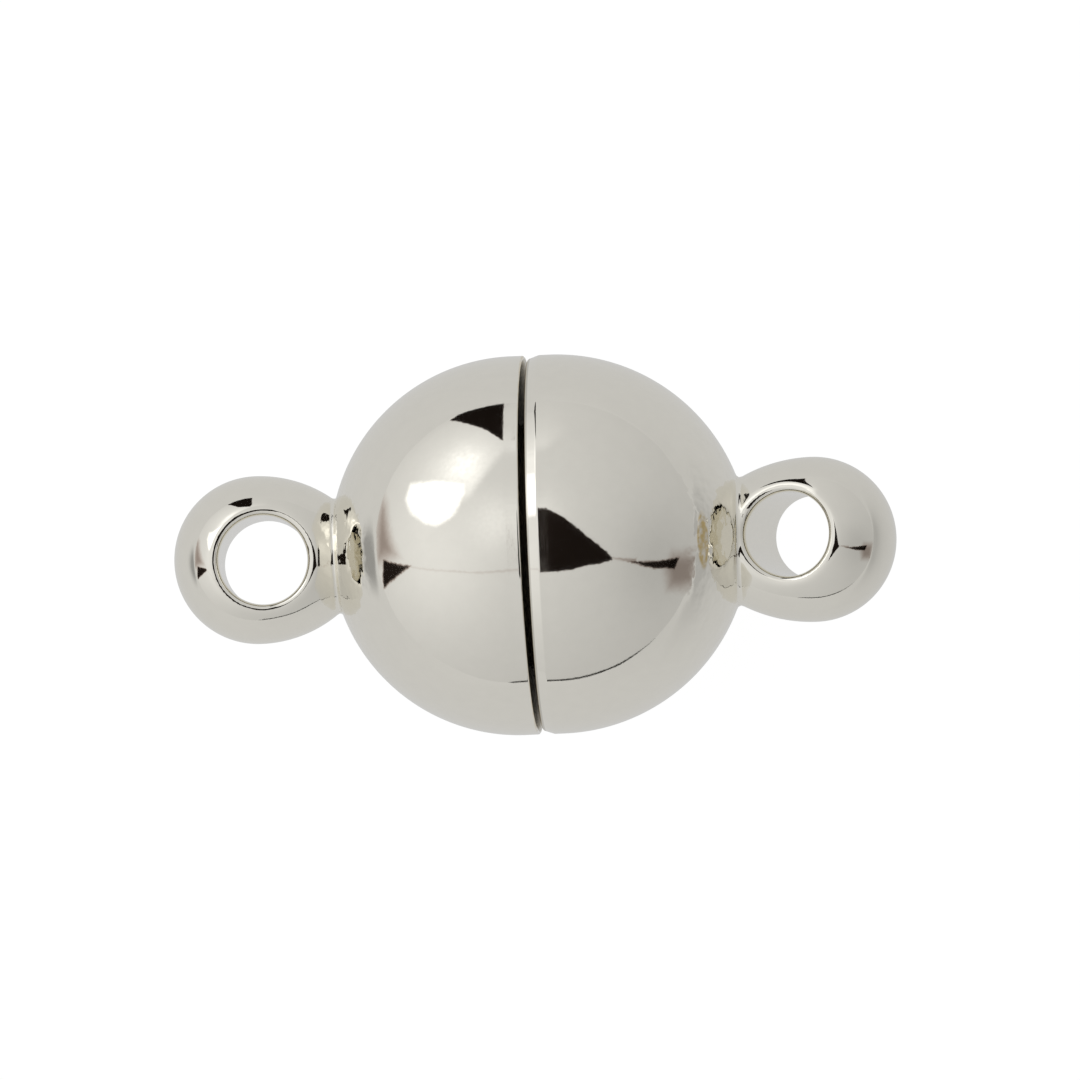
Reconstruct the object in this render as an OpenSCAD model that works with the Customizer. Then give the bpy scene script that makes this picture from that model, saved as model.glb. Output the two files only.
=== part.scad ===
// Magnetic ball clasp: two turned metal halves that meet at a seam, each with
// a drilled ball eye at its pole and a round magnet in its face. It lies on
// its skirt with its axis along X, and the bores of its eyes stand upright.

/* [Ball] */
// Diameter of the closed ball across its seam
ball_d = 8.0; // [7.5:0.5:12]
// Straight skirt on each half, from the middle of the seam to the dome
skirt_len = 0.46; // [0.36:0.02:0.8]
// Radius of the dome's curve, a little under half the ball's diameter
dome_r = 3.8; // [3.5:0.05:5.5]

/* [Seam] */
// Gap between the two rims at the bottom, where they all but touch
seam_gap = 0.09; // [0.05:0.01:0.12]
// Angle between the two rims, which stand open at the top as the eyes hang down
seam_open = 0.9; // [0:0.1:1.5]
// Round on the outer edge of each rim
lip_r = 0.18; // [0.1:0.02:0.24]

/* [Eyes] */
// Diameter of the ball that makes each eye
eye_d = 3.54; // [3.3:0.02:4]
// Distance from the middle of the seam to the centre of each eye
eye_reach = 5.76; // [5.6:0.02:7]
// Radius of the long curve that runs from the eye down to the dome
neck_curve_r = 3.2; // [2.8:0.1:4]
// Diameter of the bore through each eye
bore_d = 1.76; // [1.4:0.02:2]
// Diameter of each bore's countersunk mouth, at its widest
mouth_d = 2.32; // [2.1:0.02:2.34]
// Distance from each eye's centre to its bore, towards the ball
bore_inset = 0.18; // [0:0.02:0.24]
// Lean of the left eye's bore, its upper mouth towards the ball
left_lean = 4; // [0:1:12]
// Lean of the right eye's bore, its upper mouth towards the ball
right_lean = 12; // [0:1:12]

/* [Magnets] */
// Diameter of each magnet
magnet_d = 5.0; // [4:0.25:5.5]
// Thickness of each magnet
magnet_len = 2.0; // [1.5:0.1:2.2]
// Broken edge on each magnet
magnet_edge = 0.12; // [0.05:0.01:0.2]
// Height that the right magnet stands out of its rim
boss_len = 0.3; // [0.15:0.05:0.4]
// Gap between the faces of the two magnets, measured with the seam closed
face_gap = 0.05; // [0.04:0.01:0.1]
// Glue gap round and behind each magnet
glue_gap = 0.05; // [0.04:0.01:0.1]

/* [Hidden] */
$fn = 96;

ball_r = ball_d / 2;
eye_r = eye_d / 2;
bore_r = bore_d / 2;
mouth_r = mouth_d / 2;
magnet_r = magnet_d / 2;
// Each rim's plane and each magnet's face, measured from the middle of the seam
rim_u = seam_gap / 2;
right_face_u = rim_u - boss_len;
left_face_u = boss_len - rim_u + face_gap;

metal = [0.90, 0.87, 0.80];
nickel = [0.70, 0.69, 0.66];

// Lays a shape that is built up from the seam along Z down along X, on the
// floor, and tips it over the end of its skirt to open the top of the seam
module laid_down() {
    translate([skirt_len, 0, 0])
        rotate([0, seam_open / 2, 0])
            translate([-skirt_len, 0, ball_r])
                rotate([0, 90, 0])
                    children();
}

// Outline of the dome, its skirt and its rounded rim: radius, then distance from the seam
module dome_outline() {
    lip_u = rim_u + lip_r;
    intersection() {
        translate([ball_r - dome_r, skirt_len])
            circle(r = dome_r);
        translate([0, skirt_len])
            square(ball_r);
    }
    translate([0, lip_u])
        square([ball_r, skirt_len - lip_u]);
    translate([0, rim_u])
        square([ball_r - lip_r, lip_r]);
    intersection() {
        translate([ball_r - lip_r, lip_u])
            circle(r = lip_r);
        translate([ball_r - lip_r, rim_u])
            square(lip_r);
    }
}

// Outline of the eye's ball and of the curve that joins it to the dome
module eye_outline() {
    intersection() {
        translate([0, eye_reach])
            circle(r = eye_r);
        translate([0, eye_reach])
            square(eye_r);
    }
    intersection() {
        translate([eye_r - neck_curve_r, eye_reach])
            circle(r = neck_curve_r);
        translate([0, skirt_len])
            square([eye_r, eye_reach - skirt_len]);
    }
}

// What is drilled out of an eye: the bore, and a countersink at each end of it
module bore_cutter() {
    sink_len = mouth_r - bore_r;
    sink_top = sqrt(pow(eye_r, 2) - pow(bore_r, 2));
    cylinder(r = bore_r, h = 2 * eye_d, center = true);
    for (turn = [0, 180])
        rotate([turn, 0, 0]) {
            translate([0, 0, sink_top - sink_len])
                cylinder(r1 = bore_r, r2 = mouth_r, h = sink_len);
            translate([0, 0, sink_top])
                cylinder(r = mouth_r, h = eye_d - sink_top);
        }
}

// One half, built up from the seam, with the pocket for a magnet whose face is at
// face_u. The turning starts at the side, so its first line lies beside the floor
// and not on it.
module turned_half(face_u, lean) {
    pocket_floor = face_u + magnet_len + glue_gap;
    difference() {
        rotate([0, 0, 90])
            rotate_extrude()
                union() {
                    dome_outline();
                    eye_outline();
                }
        translate([0, 0, -ball_r])
            cylinder(r = magnet_r + glue_gap, h = ball_r + pocket_floor);
        translate([0, 0, eye_reach - bore_inset])
            rotate([0, 90 - lean, 0])
                bore_cutter();
    }
}

// One magnet, built up from its face
module magnet(face_u) {
    translate([0, 0, face_u])
        rotate_extrude()
            polygon([
                [0, 0],
                [magnet_r - magnet_edge, 0],
                [magnet_r, magnet_edge],
                [magnet_r, magnet_len - magnet_edge],
                [magnet_r - magnet_edge, magnet_len],
                [0, magnet_len]
            ]);
}

module left_half() {
    color(metal)
        mirror([1, 0, 0])
            laid_down()
                turned_half(left_face_u, left_lean);
}

module right_half() {
    color(metal)
        laid_down()
            turned_half(right_face_u, right_lean);
}

module left_magnet() {
    color(nickel)
        mirror([1, 0, 0])
            laid_down()
                magnet(left_face_u);
}

module right_magnet() {
    color(nickel)
        laid_down()
            magnet(right_face_u);
}

left_half();
right_half();
left_magnet();
right_magnet();
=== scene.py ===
import math
import bpy
import numpy as np
from mathutils import Matrix, Vector


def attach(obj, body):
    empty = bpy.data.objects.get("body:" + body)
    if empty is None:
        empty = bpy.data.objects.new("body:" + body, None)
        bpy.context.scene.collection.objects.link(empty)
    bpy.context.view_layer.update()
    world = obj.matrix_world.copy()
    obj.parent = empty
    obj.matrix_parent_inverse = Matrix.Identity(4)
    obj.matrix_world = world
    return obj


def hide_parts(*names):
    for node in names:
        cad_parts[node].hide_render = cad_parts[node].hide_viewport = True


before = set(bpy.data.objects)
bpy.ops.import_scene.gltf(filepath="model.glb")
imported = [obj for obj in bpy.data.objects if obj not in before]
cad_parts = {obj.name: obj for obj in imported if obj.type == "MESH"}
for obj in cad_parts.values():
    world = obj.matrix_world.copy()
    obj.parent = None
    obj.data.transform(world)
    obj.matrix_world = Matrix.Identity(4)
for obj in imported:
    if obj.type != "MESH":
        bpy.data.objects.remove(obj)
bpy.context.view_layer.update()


# The two halves
# Each half is one turned and plated piece of brass: a dome with a short skirt and an eased
# rim, drilled hollow for its magnet, and a ball eye on a waisted neck. The eye is drilled
# across, and barrel plating and tumbling have rounded every edge.

BALL_RADIUS = 4.0          # millimetres, as are all the sizes of the clasp
SKIRT_LENGTH = {"left": 0.30, "right": 0.46}
DOME_RADIUS = {"left": 3.97, "right": 4.07}
RIM_OFFSET = 0.012         # from the middle of the seam to each rim
RIM_ROUND = 0.04
EASE_START = {"left": 0.30, "right": 0.25}      # where the skirt begins to draw in towards the rim
EASE_SLOPE = {"left": 0.0055, "right": 0.34}
EASE_BLEND = 0.005
TIP_LENGTH = 0.46          # where each half touches the floor
EYE_RADIUS = {"left": 1.775, "right": 1.74}
EYE_REACH = {"left": 5.82, "right": 5.88}
EYE_DROP = {"left": 0.07, "right": 0.13}      # each eye sits off the axis, a little to the front
NECK_CURVE_RADIUS = {"left": 2.7, "right": 3.2}
NECK_ROOT_FILLET = 0.12
BORE_RADIUS = {"left": 0.93, "right": 0.885}
BORE_INSET = {"left": 0.16, "right": 0.23}
BORE_DROP = {"left": 0.127, "right": 0.045}
BORE_LEAN = {"left": 2.5, "right": 12.5}
BORE_MOUTH_ROUND = 0.28
POCKET_RADIUS = 2.55
POCKET_DEPTH = {"left": 2.355, "right": 1.795}
POCKET_EDGE_ROUND = 0.1
SEAM_OPENING = 0.75        # degrees between the two rims
MESH_STEP = 0.067
RIM_ZONE = 0.3             # how far up from the seam the mesh is finer
RIM_FINENESS = 0.22        # the mesh step there, as a share of the other


def calc(tree, operation, *values):
    """One Math node in a tree, given sockets or numbers; returns its result."""
    node = tree.nodes.new("ShaderNodeMath")
    node.operation = operation
    for socket, value in zip(node.inputs, values):
        if isinstance(value, bpy.types.NodeSocket):
            tree.links.new(value, socket)
        else:
            socket.default_value = value
    return node.outputs[0]


def vector_calc(tree, operation, first, second=None, scale=None):
    """One Vector Math node, given sockets or triples; returns its vector or its number."""
    node = tree.nodes.new("ShaderNodeVectorMath")
    node.operation = operation
    for name, value in ((0, first), (1, second), ("Scale", scale)):
        if isinstance(value, bpy.types.NodeSocket):
            tree.links.new(value, node.inputs[name])
        elif value is not None:
            node.inputs[name].default_value = value
    return node.outputs["Value" if operation in ("DOT_PRODUCT", "LENGTH") else "Vector"]


def blend_min(tree, a, b, width):
    """The smaller of two distances, with a fillet of this width where they meet."""
    apart = calc(tree, "ABSOLUTE", calc(tree, "SUBTRACT", a, b))
    near = calc(tree, "MAXIMUM", calc(tree, "SUBTRACT", width, apart), 0.0)
    dip = calc(tree, "DIVIDE", calc(tree, "MULTIPLY", near, near), calc(tree, "MULTIPLY", width, 4.0))
    return calc(tree, "SUBTRACT", calc(tree, "MINIMUM", a, b), dip)


def hypotenuse(tree, a, b):
    """The length of the long side of a right triangle."""
    return calc(tree, "SQRT", calc(tree, "ADD", calc(tree, "MULTIPLY", a, a), calc(tree, "MULTIPLY", b, b)))


HALF_SIZES = {
    "Ball Radius": BALL_RADIUS, "Skirt Length": 0.4, "Dome Radius": 4.0,
    "Rim Offset": RIM_OFFSET, "Rim Round": RIM_ROUND, "Ease Start": 0.3, "Ease Slope": 0.0,
    "Ease Blend": EASE_BLEND,
    "Eye Radius": 1.77, "Eye Reach": 5.8, "Eye Drop": 0.0, "Neck Curve Radius": 3.0,
    "Neck Root Fillet": NECK_ROOT_FILLET, "Bore Radius": 0.9, "Bore Inset": 0.2, "Bore Drop": 0.0,
    "Bore Lean": 0.1, "Bore Mouth Round": BORE_MOUTH_ROUND,
    "Pocket Radius": POCKET_RADIUS, "Pocket Depth": 2.0, "Pocket Edge Round": POCKET_EDGE_ROUND,
}


def half_distance_group():
    """How far a point is outside the surface of a half. The half stands on the seam, with
    X along its axis from the middle of the seam and Z up, along the bore."""
    tree = bpy.data.node_groups.new("distance to a turned half", "GeometryNodeTree")
    tree.interface.new_socket("Point", in_out="INPUT", socket_type="NodeSocketVector")
    for name in HALF_SIZES:
        tree.interface.new_socket(name, in_out="INPUT", socket_type="NodeSocketFloat")
    tree.interface.new_socket("Distance", in_out="OUTPUT", socket_type="NodeSocketFloat")
    given = tree.nodes.new("NodeGroupInput").outputs
    split = tree.nodes.new("ShaderNodeSeparateXYZ")
    tree.links.new(given["Point"], split.inputs[0])
    u, across, up = split.outputs
    out = hypotenuse(tree, across, up)

    def c(operation, *values):
        return calc(tree, operation, *values)

    # the dome, from the end of the skirt outwards
    from_skirt = c("SUBTRACT", u, given["Skirt Length"])
    dome_centre = c("SUBTRACT", given["Ball Radius"], given["Dome Radius"])
    past_centre = c("MAXIMUM", c("SUBTRACT", out, dome_centre), 0.0)
    dome = c("SUBTRACT", hypotenuse(tree, from_skirt, past_centre), given["Dome Radius"])
    # the skirt, which draws in a little near the seam, and its rounded rim
    under_wall = c("SUBTRACT", given["Ball Radius"], out)
    past_ease = c("MULTIPLY", c("SUBTRACT", u, given["Ease Start"]), c("SINE", given["Ease Slope"]))
    under_ease = c("ADD", c("MULTIPLY", under_wall, c("COSINE", given["Ease Slope"])), past_ease)
    under = blend_min(tree, under_wall, under_ease, given["Ease Blend"])
    above_rim = c("SUBTRACT", u, given["Rim Offset"])
    skirt = c("MULTIPLY", blend_min(tree, under, above_rim, given["Rim Round"]), -1.0)
    on_dome = c("GREATER_THAN", from_skirt, 0.0)
    body = c("ADD", c("MULTIPLY", dome, on_dome), c("MULTIPLY", skirt, c("SUBTRACT", 1.0, on_dome)))
    # the eye's ball, and the long curve of the neck below it
    from_eye = c("SUBTRACT", u, given["Eye Reach"])
    eye_out = hypotenuse(tree, c("ADD", across, given["Eye Drop"]), up)
    ball = c("SUBTRACT", hypotenuse(tree, from_eye, eye_out), given["Eye Radius"])
    neck_out = c("SUBTRACT", eye_out, c("SUBTRACT", given["Eye Radius"], given["Neck Curve Radius"]))
    neck = c("SUBTRACT", hypotenuse(tree, from_eye, neck_out), given["Neck Curve Radius"])
    on_ball = c("GREATER_THAN", from_eye, 0.0)
    eye = c("ADD", c("MULTIPLY", ball, on_ball), c("MULTIPLY", neck, c("SUBTRACT", 1.0, on_ball)))
    solid = blend_min(tree, body, eye, given["Neck Root Fillet"])
    # the pocket for the magnet and the bore through the eye are taken away
    pocket_wall = c("SUBTRACT", out, given["Pocket Radius"])
    pocket = c("MAXIMUM", pocket_wall, c("SUBTRACT", u, given["Pocket Depth"]))
    along = c("MULTIPLY", c("ADD", from_eye, given["Bore Inset"]), c("COSINE", given["Bore Lean"]))
    square_to_bore = c("ADD", along, c("MULTIPLY", up, c("SINE", given["Bore Lean"])))
    beside_bore = c("ADD", across, given["Bore Drop"])
    bore = c("SUBTRACT", hypotenuse(tree, square_to_bore, beside_bore), given["Bore Radius"])
    air = blend_min(tree, c("MULTIPLY", solid, -1.0), pocket, given["Pocket Edge Round"])
    air = blend_min(tree, air, bore, given["Bore Mouth Round"])
    distance = c("MULTIPLY", air, -1.0)
    tree.links.new(distance, tree.nodes.new("NodeGroupOutput").inputs["Distance"])
    return tree


def use_group(tree, group, given, point):
    """A group at this point, with every size passed on by its name; returns its outputs."""
    node = tree.nodes.new("GeometryNodeGroup")
    node.node_tree = group
    tree.links.new(point, node.inputs["Point"])
    for name in HALF_SIZES:
        tree.links.new(given[name], node.inputs[name])
    return node.outputs


def surface_step_group(distance_group):
    """From a point near the surface: the surface's own direction there, and the way to it."""
    tree = bpy.data.node_groups.new("step onto the surface", "GeometryNodeTree")
    tree.interface.new_socket("Point", in_out="INPUT", socket_type="NodeSocketVector")
    for name in HALF_SIZES:
        tree.interface.new_socket(name, in_out="INPUT", socket_type="NodeSocketFloat")
    for name in ("Direction", "Offset"):
        tree.interface.new_socket(name, in_out="OUTPUT", socket_type="NodeSocketVector")
    given = tree.nodes.new("NodeGroupInput").outputs
    reach = 0.004
    slope, middle = None, None
    for corner in ((1, -1, -1), (-1, -1, 1), (-1, 1, -1), (1, 1, 1)):
        point = vector_calc(tree, "ADD", given["Point"], tuple(reach * k for k in corner))
        distance = use_group(tree, distance_group, given, point)["Distance"]
        along = vector_calc(tree, "SCALE", corner, scale=distance)
        slope = along if slope is None else vector_calc(tree, "ADD", slope, along)
        middle = distance if middle is None else calc(tree, "ADD", middle, distance)
    direction = vector_calc(tree, "NORMALIZE", slope)
    steepness = calc(tree, "DIVIDE", vector_calc(tree, "LENGTH", slope), 4 * reach)
    steep = calc(tree, "MAXIMUM", steepness, 0.4)
    back = calc(tree, "DIVIDE", calc(tree, "MULTIPLY", middle, -0.25), steep)
    result = tree.nodes.new("NodeGroupOutput")
    tree.links.new(direction, result.inputs["Direction"])
    tree.links.new(vector_calc(tree, "SCALE", direction, scale=back), result.inputs["Offset"])
    return tree


def turned_half_tree():
    """The whole half: a block of density cut at its surface, drawn onto the true curves.
    The block is stretched near the seam, so that the rim's small round gets more cells."""
    distance_group = half_distance_group()
    step_group = surface_step_group(distance_group)
    tree = bpy.data.node_groups.new("turned half", "GeometryNodeTree")
    tree.interface.new_socket("Geometry", in_out="OUTPUT", socket_type="NodeSocketGeometry")
    sizes = {**HALF_SIZES, "Mesh Step": MESH_STEP, "Rim Zone": RIM_ZONE, "Rim Fineness": RIM_FINENESS}
    for name, size in sizes.items():
        tree.interface.new_socket(name, in_out="INPUT", socket_type="NodeSocketFloat").default_value = size
    tree.interface.new_socket("Material", in_out="INPUT", socket_type="NodeSocketMaterial")
    given = tree.nodes.new("NodeGroupInput").outputs
    here = tree.nodes.new("GeometryNodeInputPosition").outputs[0]

    def c(operation, *values):
        return calc(tree, operation, *values)

    # how far the stretched block reaches past the true one, and the way back from it
    added = c("SUBTRACT", c("DIVIDE", given["Rim Zone"], given["Rim Fineness"]), given["Rim Zone"])
    split = tree.nodes.new("ShaderNodeSeparateXYZ")
    tree.links.new(here, split.inputs[0])
    squeezed = tree.nodes.new("ShaderNodeCombineXYZ")
    near_seam = c("MULTIPLY", split.outputs["X"], given["Rim Fineness"])
    tree.links.new(c("MAXIMUM", near_seam, c("SUBTRACT", split.outputs["X"], added)), squeezed.inputs["X"])
    tree.links.new(split.outputs["Y"], squeezed.inputs["Y"])
    tree.links.new(split.outputs["Z"], squeezed.inputs["Z"])

    block = tree.nodes.new("GeometryNodeVolumeCube")
    margin = c("MULTIPLY", given["Mesh Step"], 3.0)
    start = c("MULTIPLY", margin, -1.0)
    reach = c("ADD", given["Eye Reach"], given["Eye Radius"])
    end = c("ADD", c("ADD", reach, added), margin)
    side = c("ADD", given["Ball Radius"], margin)
    other_side = c("MULTIPLY", side, -1.0)
    for corner, places in (("Min", (start, other_side, other_side)), ("Max", (end, side, side))):
        point = tree.nodes.new("ShaderNodeCombineXYZ")
        for socket, place in zip(point.inputs, places):
            tree.links.new(place, socket)
        tree.links.new(point.outputs[0], block.inputs[corner])
    width = c("MULTIPLY", side, 2.0)
    for axis, length in (("X", c("SUBTRACT", end, start)), ("Y", width), ("Z", width)):
        count = c("CEIL", c("DIVIDE", length, given["Mesh Step"]))
        tree.links.new(count, block.inputs["Resolution " + axis])
    distance = use_group(tree, distance_group, given, squeezed.outputs[0])["Distance"]
    fall = c("DIVIDE", distance, c("MULTIPLY", given["Mesh Step"], 6.0))
    clamp = tree.nodes.new("ShaderNodeClamp")
    tree.links.new(c("SUBTRACT", 0.5, fall), clamp.inputs["Value"])
    tree.links.new(clamp.outputs[0], block.inputs["Density"])

    skin = tree.nodes.new("GeometryNodeVolumeToMesh")
    tree.links.new(block.outputs["Volume"], skin.inputs["Volume"])
    skin.inputs["Threshold"].default_value = 0.5
    unstretch = tree.nodes.new("GeometryNodeSetPosition")
    tree.links.new(skin.outputs["Mesh"], unstretch.inputs["Geometry"])
    tree.links.new(squeezed.outputs[0], unstretch.inputs["Position"])
    shape = unstretch.outputs["Geometry"]
    for turn in range(3):
        move = tree.nodes.new("GeometryNodeSetPosition")
        tree.links.new(shape, move.inputs["Geometry"])
        tree.links.new(use_group(tree, step_group, given, here)["Offset"], move.inputs["Offset"])
        shape = move.outputs["Geometry"]
    keep = tree.nodes.new("GeometryNodeStoreNamedAttribute")
    keep.data_type = "FLOAT_VECTOR"
    keep.inputs["Name"].default_value = "surface_direction"
    tree.links.new(shape, keep.inputs["Geometry"])
    tree.links.new(use_group(tree, step_group, given, here)["Direction"], keep.inputs["Value"])
    smooth = tree.nodes.new("GeometryNodeSetShadeSmooth")
    tree.links.new(keep.outputs["Geometry"], smooth.inputs["Geometry"])
    real = tree.nodes.new("GeometryNodeRealizeInstances")
    tree.links.new(smooth.outputs["Geometry"], real.inputs["Geometry"])
    dress = tree.nodes.new("GeometryNodeSetMaterial")
    tree.links.new(real.outputs["Geometry"], dress.inputs["Geometry"])
    tree.links.new(given["Material"], dress.inputs["Material"])
    tree.links.new(dress.outputs["Geometry"], tree.nodes.new("NodeGroupOutput").inputs["Geometry"])
    return tree


def set_input(modifier, name, value):
    """Sets one input of a Geometry Nodes modifier by the identifier of its socket."""
    for item in modifier.node_group.interface.items_tree:
        if item.item_type == "SOCKET" and item.in_out == "INPUT" and item.name == name:
            modifier[item.identifier] = value


def plating_group():
    """What polishing and plating leave in a bright surface: broad soft waves, lumps, fine
    pits and a thin haze of handling marks. Dull says how much of the surface is unpolished:
    rougher, and darker in colour as painted shade in the pocket and the seam. The last
    number paints in a warm reflection, a brass colour mixed into the tint."""
    tree = bpy.data.node_groups.new("polished plating", "ShaderNodeTree")
    numbers = (
        ("Wave Size", 1.2), ("Wave Height", 0.5), ("Lump Height", 0.0),
        ("Haze", 0.03), ("Dull", 0.0), ("Painted Reflection", 0.0),
    )
    for name, value in numbers:
        tree.interface.new_socket(name, in_out="INPUT", socket_type="NodeSocketFloat").default_value = value
    # the second colour is dark: painted shade for the pocket and the seam, besides the unpolished look
    colours = (
        ("Tint", (0.9, 0.87, 0.8, 1)), ("Unpolished Shade Tint", (0.2, 0.18, 0.14, 1)),
        # the brass colour of a painted warm reflection
        ("Painted Brass Colour", (0.70, 0.54, 0.26, 1)),
    )
    for name, value in colours:
        tree.interface.new_socket(name, in_out="INPUT", socket_type="NodeSocketColor").default_value = value
    for name, kind in (("Color", "Color"), ("Roughness", "Float"), ("Height", "Float")):
        tree.interface.new_socket(name, in_out="OUTPUT", socket_type="NodeSocket" + kind)
    given = tree.nodes.new("NodeGroupInput").outputs
    result = tree.nodes.new("NodeGroupOutput")
    grow = tree.nodes.new("ShaderNodeMapping")
    grow.inputs["Scale"].default_value = (1000, 1000, 1000)      # metres to millimetres
    tree.links.new(tree.nodes.new("ShaderNodeTexCoord").outputs["Object"], grow.inputs["Vector"])

    def noise(scale, detail):
        node = tree.nodes.new("ShaderNodeTexNoise")
        node.inputs["Scale"].default_value = scale
        node.inputs["Detail"].default_value = detail
        tree.links.new(grow.outputs[0], node.inputs["Vector"])
        return node

    wave = noise(0.8, 1.0)
    tree.links.new(given["Wave Size"], wave.inputs["Scale"])
    pits = noise(14.0, 3.0)
    haze = noise(3.5, 4.0)
    lumps = calc(tree, "MULTIPLY", noise(3.4, 1.5).outputs["Fac"], given["Lump Height"])
    waves = calc(tree, "MULTIPLY_ADD", wave.outputs["Fac"], given["Wave Height"], lumps)
    tree.links.new(calc(tree, "MULTIPLY_ADD", pits.outputs["Fac"], 0.02, waves), result.inputs["Height"])
    rough = calc(tree, "MULTIPLY_ADD", haze.outputs["Fac"], given["Haze"], 0.03)
    tree.links.new(calc(tree, "MULTIPLY_ADD", given["Dull"], 0.5, rough), result.inputs["Roughness"])
    patchy = tree.nodes.new("ShaderNodeMapRange")
    tree.links.new(haze.outputs["Fac"], patchy.inputs["Value"])
    patchy.inputs["To Min"].default_value = 0.97
    patchy.inputs["To Max"].default_value = 1.02
    spotty = tree.nodes.new("ShaderNodeMapRange")
    tree.links.new(noise(6.0, 3.0).outputs["Fac"], spotty.inputs["Value"])
    spotty.inputs["From Min"].default_value = 0.3
    spotty.inputs["From Max"].default_value = 0.6
    # the brass colour is mixed in where the painted warm reflection is
    painted_reflection_mix = tree.nodes.new("ShaderNodeMix")
    painted_reflection_mix.data_type = "RGBA"
    tree.links.new(calc(tree, "MULTIPLY", given["Painted Reflection"], spotty.outputs[0]), painted_reflection_mix.inputs["Factor"])
    tree.links.new(given["Tint"], painted_reflection_mix.inputs["A"])
    tree.links.new(given["Painted Brass Colour"], painted_reflection_mix.inputs["B"])
    # unpolished places take the dark colour, which is painted shade
    tone = tree.nodes.new("ShaderNodeMix")
    tone.data_type = "RGBA"
    tree.links.new(given["Dull"], tone.inputs["Factor"])
    tree.links.new(painted_reflection_mix.outputs["Result"], tone.inputs["A"])
    tree.links.new(given["Unpolished Shade Tint"], tone.inputs["B"])
    shade = tree.nodes.new("ShaderNodeMix")
    shade.data_type = "RGBA"
    shade.blend_type = "MULTIPLY"
    shade.inputs["Factor"].default_value = 1.0
    tree.links.new(tone.outputs["Result"], shade.inputs["A"])
    tree.links.new(patchy.outputs[0], shade.inputs["B"])
    tree.links.new(shade.outputs["Result"], result.inputs["Color"])
    return tree


plating = plating_group()
# the rim faces between the halves are left unpolished and painted partly dark, as painted shade in the seam
RIM_FACE_REACH = 0.12      # a rim's face is this near to the middle of the seam
RIM_FACE_EDGE = 0.06       # and stops this short of the skirt
RIM_FACE_DULL_AND_SHADE = 0.35
WAIST_PLACE = 3.9          # from the middle of the seam to the waist of each neck
WAIST_REACH = (0.3, 0.7)   # lumpy up to the first distance from it, smooth past the second


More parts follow.
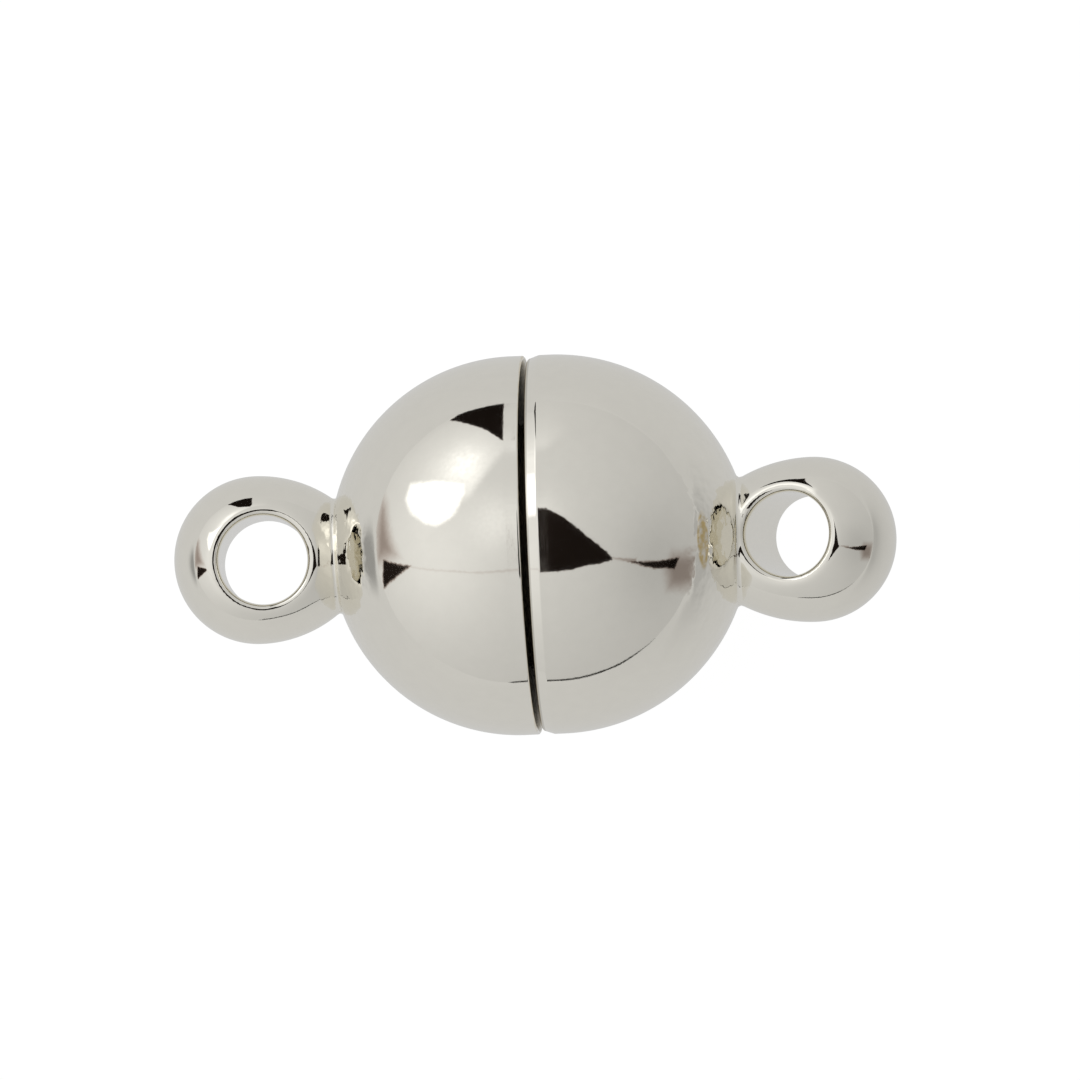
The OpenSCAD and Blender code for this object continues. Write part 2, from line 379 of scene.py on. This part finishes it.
def plated_metal(name, tint, wave_height, haze, dull_shade_radii, dull_depth, lump_height=0.0, painted_reflection_places=()):
    """A plated finish; its tint, waviness and haze are its own. Between the two given radii
    from the axis, up to the given depth from the seam, it is left unpolished as it was turned,
    and its colour is painted dark there as painted shade in the pocket and the seam. In the
    listed places, each with a middle and reaches in millimetres, a brass colour is painted in
    as a painted warm reflection."""
    material = bpy.data.materials.new(name)
    material.use_nodes = True
    tree = material.node_tree
    shader = tree.nodes["Principled BSDF"]
    shader.inputs["Metallic"].default_value = 1.0
    coat = tree.nodes.new("ShaderNodeGroup")
    coat.node_tree = plating
    coat.inputs["Tint"].default_value = (*tint, 1)
    coat.inputs["Wave Height"].default_value = wave_height
    coat.inputs["Haze"].default_value = haze
    split = tree.nodes.new("ShaderNodeSeparateXYZ")
    tree.links.new(tree.nodes.new("ShaderNodeTexCoord").outputs["Object"], split.inputs[0])
    up = calc(tree, "SUBTRACT", split.outputs["Z"], BALL_RADIUS * 0.001)
    from_axis = hypotenuse(tree, split.outputs["Y"], up)
    # inside the outer radius: unpolished, and painted dark as painted shade in the pocket and the seam
    dull = tree.nodes.new("ShaderNodeMapRange")
    tree.links.new(from_axis, dull.inputs["Value"])
    dull.inputs["From Min"].default_value = dull_shade_radii[1] * 0.001
    dull.inputs["From Max"].default_value = (dull_shade_radii[1] + 0.02) * 0.001
    dull.inputs["To Min"].default_value = 1.0
    dull.inputs["To Max"].default_value = 0.0
    at_seam = tree.nodes.new("ShaderNodeMapRange")
    tree.links.new(calc(tree, "ABSOLUTE", split.outputs["X"]), at_seam.inputs["Value"])
    at_seam.inputs["From Min"].default_value = dull_depth * 0.001
    at_seam.inputs["From Max"].default_value = (dull_depth + 0.02) * 0.001
    at_seam.inputs["To Min"].default_value = 1.0
    at_seam.inputs["To Max"].default_value = 0.0
    off_axis = calc(tree, "GREATER_THAN", from_axis, dull_shade_radii[0] * 0.001)
    near_seam = calc(tree, "MULTIPLY", at_seam.outputs[0], off_axis)
    unpolished_shaded_pocket = calc(tree, "MULTIPLY", dull.outputs[0], near_seam)
    # the rim faces are partly unpolished and painted partly dark, as painted shade in the seam
    on_face = calc(tree, "LESS_THAN", calc(tree, "ABSOLUTE", split.outputs["X"]), RIM_FACE_REACH * 0.001)
    under_edge = calc(tree, "LESS_THAN", from_axis, (BALL_RADIUS - RIM_FACE_EDGE) * 0.001)
    unpolished_shaded_rim = calc(tree, "MULTIPLY", calc(tree, "MULTIPLY", on_face, under_edge), RIM_FACE_DULL_AND_SHADE)
    tree.links.new(calc(tree, "MAXIMUM", unpolished_shaded_pocket, unpolished_shaded_rim), coat.inputs["Dull"])
    # the polishing wheel doesn't reach the waist of the neck, so it stays lumpy
    lumpy = tree.nodes.new("ShaderNodeMapRange")
    lumpy.interpolation_type = "SMOOTHSTEP"
    from_waist = calc(tree, "SUBTRACT", calc(tree, "ABSOLUTE", split.outputs["X"]), WAIST_PLACE * 0.001)
    tree.links.new(calc(tree, "ABSOLUTE", from_waist), lumpy.inputs["Value"])
    lumpy.inputs["From Min"].default_value = WAIST_REACH[0] * 0.001
    lumpy.inputs["From Max"].default_value = WAIST_REACH[1] * 0.001
    lumpy.inputs["To Min"].default_value = lump_height
    lumpy.inputs["To Max"].default_value = 0.0
    tree.links.new(lumpy.outputs[0], coat.inputs["Lump Height"])
    # painted warm reflections: brass colour painted in at the listed places
    painted_reflection_amount = None
    for middle, reaches, strength in painted_reflection_places:
        fit = tree.nodes.new("ShaderNodeMapping")
        fit.vector_type = "TEXTURE"
        fit.inputs["Location"].default_value = [v * 0.001 for v in middle]
        fit.inputs["Scale"].default_value = [v * 0.001 for v in reaches]
        tree.links.new(tree.nodes.new("ShaderNodeTexCoord").outputs["Object"], fit.inputs["Vector"])
        spot = tree.nodes.new("ShaderNodeMapRange")
        spot.interpolation_type = "SMOOTHSTEP"
        spot.inputs["From Min"].default_value = 0.75
        spot.inputs["From Max"].default_value = 1.0
        spot.inputs["To Min"].default_value = strength
        spot.inputs["To Max"].default_value = 0.0
        tree.links.new(vector_calc(tree, "LENGTH", fit.outputs[0]), spot.inputs["Value"])
        painted_reflection_amount = spot.outputs[0] if painted_reflection_amount is None else calc(tree, "MAXIMUM", painted_reflection_amount, spot.outputs[0])
    if painted_reflection_amount is not None:
        tree.links.new(painted_reflection_amount, coat.inputs["Painted Reflection"])
    bump = tree.nodes.new("ShaderNodeBump")
    bump.inputs["Strength"].default_value = 0.5
    bump.inputs["Distance"].default_value = 0.00002
    tree.links.new(coat.outputs["Color"], shader.inputs["Base Color"])
    tree.links.new(coat.outputs["Roughness"], shader.inputs["Roughness"])
    tree.links.new(coat.outputs["Height"], bump.inputs["Height"])
    tree.links.new(bump.outputs["Normal"], shader.inputs["Normal"])
    return material


# painted warm reflections: a brass-coloured band on both rims at the seam, for the tan light
# that bounces between them, and a brass-coloured patch at the root of the right neck, for the reflection in
# the fillet there
PAINTED_REFLECTION_PLACES = [            # middle, reaches in millimetres, how much shows
    ((0.0, 0.0, 4.0), (0.1, 9.0, 9.0), 0.45),
    ((3.66, -0.15, 6.4), (0.13, 0.66, 0.6), 1.0),
]
# the pocket, up to these, is unpolished and painted dark as painted shade
POCKET_DULL_SHADE_RADIUS = 2.6   # just past the pocket's wall
POCKET_DULL_SHADE_DEPTH = 2.45   # just past the deeper pocket's floor
bright_plating = plated_metal(
    "bright_plating", (0.900, 0.875, 0.800), 0.5, 0.03, (0.0, POCKET_DULL_SHADE_RADIUS), POCKET_DULL_SHADE_DEPTH,
    lump_height=1.9, painted_reflection_places=PAINTED_REFLECTION_PLACES,
)

# on the floor, tipped so that the seam opens; the left half is the right one mirrored
tipped = (
    Matrix.Translation((TIP_LENGTH, 0, 0))
    @ Matrix.Rotation(math.radians(SEAM_OPENING / 2), 4, "Y")
    @ Matrix.Translation((-TIP_LENGTH, 0, BALL_RADIUS))
)
millimetres = Matrix.Scale(0.001, 4)
lay_down = {
    "right": millimetres @ tipped,
    "left": millimetres @ Matrix.Scale(-1, 4, (1, 0, 0)) @ tipped,
}

turned_half = turned_half_tree()
for side in ("left", "right"):
    worker = bpy.data.objects.new(side + "_turning", bpy.data.meshes.new(side + "_turning"))
    bpy.context.scene.collection.objects.link(worker)
    turning = worker.modifiers.new("turned half", "NODES")
    turning.node_group = turned_half
    for name, sizes in (
        ("Skirt Length", SKIRT_LENGTH), ("Dome Radius", DOME_RADIUS),
        ("Ease Start", EASE_START), ("Ease Slope", EASE_SLOPE),
        ("Eye Radius", EYE_RADIUS), ("Eye Reach", EYE_REACH), ("Eye Drop", EYE_DROP),
        ("Neck Curve Radius", NECK_CURVE_RADIUS), ("Bore Radius", BORE_RADIUS),
        ("Bore Inset", BORE_INSET), ("Bore Drop", BORE_DROP), ("Pocket Depth", POCKET_DEPTH),
    ):
        set_input(turning, name, sizes[side])
    set_input(turning, "Bore Lean", math.radians(BORE_LEAN[side]))
    set_input(turning, "Material", bright_plating)
    graph = bpy.context.evaluated_depsgraph_get()
    mesh = bpy.data.meshes.new_from_object(worker.evaluated_get(graph))
    bpy.data.objects.remove(worker)
    directions = np.zeros(len(mesh.vertices) * 3, np.float32)
    mesh.attributes["surface_direction"].data.foreach_get("vector", directions)
    mesh.attributes.remove(mesh.attributes["surface_direction"])
    mesh.transform(lay_down[side])
    turned = directions.reshape(-1, 3) @ np.array(lay_down[side].to_3x3()).T
    turned /= np.maximum(np.linalg.norm(turned, axis=1, keepdims=True), 1e-12)
    if side == "left":
        mesh.flip_normals()
    mesh.normals_split_custom_set_from_vertices(turned.tolist())
    mesh.name = "clasp_" + side
    half = bpy.data.objects.new("clasp_" + side, mesh)
    bpy.context.scene.collection.objects.link(half)
    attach(half, side)
    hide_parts(side + "_half")
    triangles = sum(len(p.vertices) - 2 for p in mesh.polygons)
    print(half.name, len(mesh.vertices), triangles, [round(v, 4) for v in half.dimensions])


# The two magnets
# Each half holds a round neodymium magnet, nickel plated and tumbled, so its edges are
# broken. It is glued into the pocket: the right one stands out of its rim and enters
# the left half's mouth, and the two faces all but touch.

MAGNET_RADIUS = 2.5
MAGNET_LENGTH = 2.0
MAGNET_EDGE = 0.12
MAGNET_FACE = {"left": 0.305, "right": -0.255}
MAGNET_SIDES = 128
# Past this radius the magnet's side is rough from the glue and is also painted dark, as painted shade in
# the pocket.
MAGNET_BRIGHT_RADIUS = 2.45      # the face is bright and the side, in the glue, is dull

magnet_plating = plated_metal(
    "magnet_plating", (0.60, 0.585, 0.55), 0.4, 0.25,
    (MAGNET_BRIGHT_RADIUS, POCKET_DULL_SHADE_RADIUS), POCKET_DULL_SHADE_DEPTH,
)
for side in ("left", "right"):
    outline = [(0.0, 0.0), (MAGNET_RADIUS - MAGNET_EDGE, 0.0)]
    for k in range(1, 8):
        turn = math.radians(90 * k / 8)
        edge_r = MAGNET_RADIUS - MAGNET_EDGE * (1 - math.sin(turn))
        outline.append((edge_r, MAGNET_EDGE * (1 - math.cos(turn))))
    outline.append((MAGNET_RADIUS, MAGNET_EDGE))
    outline += [(r, MAGNET_LENGTH - u) for r, u in reversed(outline)]
    turns = [2 * math.pi * k / MAGNET_SIDES for k in range(MAGNET_SIDES)]
    points, rings = [], []
    for r, u in outline:
        ring = [(MAGNET_FACE[side] + u, r * math.cos(a), r * math.sin(a)) for a in turns]
        first = len(points)
        points += ring[:1] if r == 0 else ring
        rings.append([first] * MAGNET_SIDES if r == 0 else list(range(first, first + MAGNET_SIDES)))
    faces = []
    for a, b in zip(rings, rings[1:]):
        for k in range(MAGNET_SIDES):
            n = (k + 1) % MAGNET_SIDES
            faces.append(list(dict.fromkeys([a[k], a[n], b[n], b[k]])))
    mesh = bpy.data.meshes.new("magnet_" + side)
    mesh.from_pydata(points, [], faces)
    mesh.transform(lay_down[side])
    if side == "right":
        mesh.flip_normals()
    mesh.materials.append(magnet_plating)
    mesh.polygons.foreach_set("use_smooth", [True] * len(mesh.polygons))
    mesh.update()
    magnet = bpy.data.objects.new("magnet_" + side, mesh)
    bpy.context.scene.collection.objects.link(magnet)
    edges = magnet.modifiers.new("faces stay flat", "WEIGHTED_NORMAL")
    edges.keep_sharp = True
    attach(magnet, side)
    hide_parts(side + "_magnet")


# The tent and its lamp
# The clasp is lit in a tent of white cloth. A lamp stands outside it at the back left. A
# slit runs over the tent in front of the middle, where the camera looks in, and the cloth
# gapes there at the top and at both ends. A corner is open at the back too.

def direction(azimuth, down):
    """Azimuth from +X towards +Y, and the angle down from straight overhead, in degrees."""
    a, d = math.radians(azimuth), math.radians(down)
    return Vector((math.sin(d) * math.cos(a), math.sin(d) * math.sin(a), math.cos(d)))


FRAY_FINENESS = 26.0       # how often the cloth's edges wander, and how far, in radians or so
FRAY_REACH = 0.03
LAMP_SIDE = (155, 60)
CLOTH_MIDDLE = 0.60        # brightness of the cloth square to the lamp's side
CLOTH_SWING = 0.10         # how much brighter it is towards the lamp

world = bpy.data.worlds.new("tent")
bpy.context.scene.world = world
world.use_nodes = True
world.cycles.sampling_method = "NONE"
tree = world.node_tree
tree.nodes.clear()
straight = tree.nodes.new("ShaderNodeTexCoord").outputs["Generated"]
frayed = tree.nodes.new("ShaderNodeTexNoise")
frayed.inputs["Scale"].default_value = FRAY_FINENESS
frayed.inputs["Detail"].default_value = 2.0
tree.links.new(straight, frayed.inputs["Vector"])
fray = vector_calc(tree, "SUBTRACT", frayed.outputs["Color"], (0.5, 0.5, 0.5))
looking = vector_calc(tree, "ADD", straight, vector_calc(tree, "SCALE", fray, scale=FRAY_REACH))


def inside_of(corners, crisp=()):
    """How far a direction is inside the polygon with these corners, in radians or so. The
    edges numbered in crisp aren't frayed."""
    points = [direction(*c) for c in corners]
    middle = sum(points, Vector()) / len(points)
    depth = None
    for number, (a, b) in enumerate(zip(points, points[1:] + points[:1])):
        edge = a.cross(b).normalized()
        if edge.dot(middle) < 0:
            edge.negate()
        here = vector_calc(tree, "DOT_PRODUCT", straight if number in crisp else looking, tuple(edge))
        depth = here if depth is None else calc(tree, "MINIMUM", depth, here)
    return depth


def soft_step(value, start, end, low, high):
    """Goes softly from low to high as the value goes from start to end."""
    step = tree.nodes.new("ShaderNodeMapRange")
    step.interpolation_type = "SMOOTHSTEP"
    for name, number in (("From Min", start), ("From Max", end), ("To Min", low), ("To Max", high)):
        step.inputs[name].default_value = number
    tree.links.new(value, step.inputs["Value"])
    return step.outputs[0]


OPENINGS = [       # corners, crisp edges, softness of the edge, what still shines through
    ([(117, 93), (94.2, 64.5), (93.8, 98.6)], (1,), 0.003, 0.012),
    ([(98.5, 20.3), (70, 15.8), (-18, 37.4), (-20.7, 38), (-42, 25), (-98.8, 19.6)], (5,), 0.004, 0.015),
    ([(-19, 37), (-14.5, 53), (-18.5, 53)], (), 0.012, 0.6),
    ([(-18.5, 48), (-12.8, 66), (-9.6, 79), (-9.2, 82), (-15, 80.5), (-17.5, 66)], (), 0.010, 0.02),
    ([(-8.5, 77), (-7.5, 91), (-21, 94), (-24, 80), (-16, 74)], (), 0.09, 0.5),
    ([(189.3, 68.3), (183.7, 88.5), (194.7, 94)], (), 0.012, 0.02),
    ([(182, 78), (184, 93.5), (160, 93.5), (162, 90)], (), 0.09, 0.45),
    ([(189, 70), (189.6, 69), (-102, 18), (-100, 17)], (), 0.012, 0.82),
]
closed = None
for corners, crisp, softness, left in OPENINGS:
    shut = soft_step(inside_of(corners, crisp), -softness, softness, 1.0, left)
    closed = shut if closed is None else calc(tree, "MULTIPLY", closed, shut)

GLOWS = [                        # direction, spread in degrees, brightness
    ((188, 50), 36, 0.15),
    ((128, 16), 15, 0.17),
    ((-12, 64), 26, -0.09),
]
facing_lamp = vector_calc(tree, "DOT_PRODUCT", looking, tuple(direction(*LAMP_SIDE)))
glow = calc(tree, "MULTIPLY_ADD", facing_lamp, CLOTH_SWING, CLOTH_MIDDLE)


def away_from(where):
    """The angle between a direction and this one, in radians."""
    near = vector_calc(tree, "DOT_PRODUCT", looking, tuple(direction(*where)))
    return calc(tree, "ARCCOSINE", calc(tree, "MINIMUM", near, 0.99999))


for where, spread, power in GLOWS:
    turn = calc(tree, "DIVIDE", away_from(where), math.radians(spread))
    fall = calc(tree, "EXPONENT", calc(tree, "MULTIPLY", calc(tree, "MULTIPLY", turn, turn), -1.0))
    glow = calc(tree, "MULTIPLY_ADD", fall, power, glow)

PANELS = [                       # corners, softness, middle of the light, its spread, brightness
    ([(148.3, 78), (130, 47.5), (134, 43), (150, 39.7), (157, 41.7), (165.5, 49), (165.5, 56.5),
      (161, 69.6), (156, 76.2)], 0.03, (148, 58), 60, 0.60),
    ([(84, 44), (130, 39), (160, 36), (178, 60), (165, 91), (84, 91)], 0.06, (122, 53), 24, 0.34),
    ([(80, 44), (130, 38), (160, 30), (160, 70), (100, 80)], 0.05, (121, 58), 9, 0.24),
]
for corners, softness, where, spread, power in PANELS:
    turn = calc(tree, "DIVIDE", away_from(where), math.radians(spread))
    fall = calc(tree, "EXPONENT", calc(tree, "MULTIPLY", calc(tree, "MULTIPLY", turn, turn), -1.0))
    panel = soft_step(inside_of(corners), -softness, softness, 0.0, power)
    glow = calc(tree, "MULTIPLY_ADD", fall, panel, glow)

cloth = tree.nodes.new("ShaderNodeBackground")
tree.links.new(calc(tree, "MULTIPLY", glow, closed), cloth.inputs["Strength"])
seen = tree.nodes.new("ShaderNodeBackground")
for shade in (cloth, seen):
    shade.inputs["Color"].default_value = (1, 1, 1, 1)
behind = tree.nodes.new("ShaderNodeMix")        # a brown wall is behind the openings
behind.data_type = "RGBA"
tree.links.new(closed, behind.inputs["Factor"])
behind.inputs["A"].default_value = (1.0, 0.72, 0.60, 1)
behind.inputs["B"].default_value = (1, 1, 1, 1)
tree.links.new(behind.outputs["Result"], cloth.inputs["Color"])
seen.inputs["Strength"].default_value = 1.0      # the camera sees plain white round the clasp
path = tree.nodes.new("ShaderNodeLightPath")
either = tree.nodes.new("ShaderNodeMixShader")
tree.links.new(path.outputs["Is Camera Ray"], either.inputs["Fac"])
tree.links.new(cloth.outputs[0], either.inputs[1])
tree.links.new(seen.outputs[0], either.inputs[2])
tree.links.new(either.outputs[0], tree.nodes.new("ShaderNodeOutputWorld").inputs["Surface"])


# The light table
# The clasp lies on a white acrylic sheet lit from below, so it has next to no shadow. The
# tent's hem doesn't quite reach the sheet at the front. The camera can't see that dark gap,
# or the sheet's dimmer places, but the clasp reflects them.

TABLE_RADIUS = 0.095
TABLE_SIDES = 192
HEM_GAP_HEIGHT = 0.0024
HEM_GAP_ARC = (-97, -46)         # degrees from +X
SEEN_LIGHT = 0.955               # the sheet's brightness to the camera, and to the clasp
REFLECTED_LIGHT = 0.57

turns = [2 * math.pi * k / TABLE_SIDES for k in range(TABLE_SIDES)]
points = [(0, 0, 0)] + [(TABLE_RADIUS * math.cos(a), TABLE_RADIUS * math.sin(a), 0) for a in turns]
mesh = bpy.data.meshes.new("light_table")
mesh.from_pydata(points, [], [(0, k + 1, (k + 1) % TABLE_SIDES + 1) for k in range(TABLE_SIDES)])
table = bpy.data.objects.new("light_table", mesh)
bpy.context.scene.collection.objects.link(table)
acrylic = bpy.data.materials.new("lit_acrylic")
acrylic.use_nodes = True
acrylic.cycles.emission_sampling = "NONE"
tree = acrylic.node_tree
shader = tree.nodes["Principled BSDF"]
place = tree.nodes.new("ShaderNodeTexCoord")
cloud = tree.nodes.new("ShaderNodeTexNoise")
cloud.inputs["Scale"].default_value = 30.0
tree.links.new(place.outputs["Object"], cloud.inputs["Vector"])
tone = tree.nodes.new("ShaderNodeMapRange")
tone.inputs["To Min"].default_value = 0.09
tone.inputs["To Max"].default_value = 0.11
tree.links.new(cloud.outputs["Fac"], tone.inputs["Value"])
tree.links.new(tone.outputs[0], shader.inputs["Base Color"])
shader.inputs["Roughness"].default_value = 1.0
shader.inputs["Specular IOR Level"].default_value = 0.0
shader.inputs["Emission Color"].default_value = (1.0, 1.0, 1.0, 1)

# metres: middle, half widths, what is left of the light there
DIM_PLACES = [
    ((-0.046, -0.0015), (0.024, 0.011), 0.45),
    ((0.052, -0.004), (0.044, 0.024), 0.70),
    ((0.080, -0.010), (0.100, 0.110), 0.90),
]
lit = None
for middle, reaches, left in DIM_PLACES:
    fit = tree.nodes.new("ShaderNodeMapping")
    fit.vector_type = "TEXTURE"
    fit.inputs["Location"].default_value = (*middle, 0)
    fit.inputs["Scale"].default_value = (*reaches, 1)
    tree.links.new(place.outputs["Object"], fit.inputs["Vector"])
    spot = tree.nodes.new("ShaderNodeMapRange")
    spot.interpolation_type = "SMOOTHSTEP"
    spot.inputs["From Min"].default_value = 0.4
    spot.inputs["From Max"].default_value = 1.1
    spot.inputs["To Min"].default_value = left
    spot.inputs["To Max"].default_value = 1.0
    tree.links.new(vector_calc(tree, "LENGTH", fit.outputs[0]), spot.inputs["Value"])
    lit = spot.outputs[0] if lit is None else calc(tree, "MULTIPLY", lit, spot.outputs[0])
shine = tree.nodes.new("ShaderNodeMix")
tree.links.new(tree.nodes.new("ShaderNodeLightPath").outputs["Is Camera Ray"], shine.inputs["Factor"])
tree.links.new(calc(tree, "MULTIPLY", lit, REFLECTED_LIGHT), shine.inputs["A"])
shine.inputs["B"].default_value = SEEN_LIGHT
tree.links.new(shine.outputs["Result"], shader.inputs["Emission Strength"])
mesh.materials.append(acrylic)

start, end = (math.radians(a) for a in HEM_GAP_ARC)
points, faces = [], []
for k in range(41):
    a = start + (end - start) * k / 40
    high = HEM_GAP_HEIGHT * min(1.0, (k + 1) / 4, (41 - k) / 16)
    points += [(TABLE_RADIUS * math.cos(a), TABLE_RADIUS * math.sin(a), z) for z in (0.0, high)]
    if k:
        faces.append((2 * k - 2, 2 * k, 2 * k + 1, 2 * k - 1))
mesh = bpy.data.meshes.new("hem_gap")
mesh.from_pydata(points, [], faces)
gap = bpy.data.objects.new("hem_gap", mesh)
bpy.context.scene.collection.objects.link(gap)
gap.visible_camera = False
shadow = bpy.data.materials.new("dark_gap")
shadow.use_nodes = True
shadow.node_tree.nodes["Principled BSDF"].inputs["Base Color"].default_value = (0.01, 0.008, 0.006, 1)
mesh.materials.append(shadow)


# The camera
# It looks almost straight down at the clasp from about 220 mm, a little from the right
# end and a little from the front, as a copy stand's camera does.

LEAN_RIGHT = 3.2
LEAN_FRONT = 2.5
PICTURE_ROLL = 2.3
DISTANCE = 0.220
MM_PER_PIXEL = 0.0211
BALL_PIXEL = (534.0, 545.0)

towards = Vector((math.tan(math.radians(LEAN_RIGHT)), -math.tan(math.radians(LEAN_FRONT)), 1)).normalized()
right = Vector((0, 1, 0)).cross(towards).normalized()
up = towards.cross(right)
roll = math.radians(PICTURE_ROLL)
right, up = right * math.cos(roll) - up * math.sin(roll), right * math.sin(roll) + up * math.cos(roll)
lens = bpy.data.cameras.new("camera")
camera = bpy.data.objects.new("camera", lens)
bpy.context.scene.collection.objects.link(camera)
bpy.context.scene.camera = camera
view_width = 1080 * MM_PER_PIXEL * 0.001
lens.sensor_width = 36.0
lens.lens = 36.0 * DISTANCE / view_width
lens.shift_x = (540 - BALL_PIXEL[0]) / 1080
lens.shift_y = (BALL_PIXEL[1] - 540) / 1080
lens.clip_start = 0.01
lens.clip_end = 10.0
turned_camera = Matrix((right, up, towards)).transposed().to_4x4()
lens_place = Vector((0, 0, BALL_RADIUS * 0.001)) + towards * DISTANCE
camera.matrix_world = Matrix.Translation(lens_place) @ turned_camera

bpy.context.scene.view_settings.view_transform = "Standard"
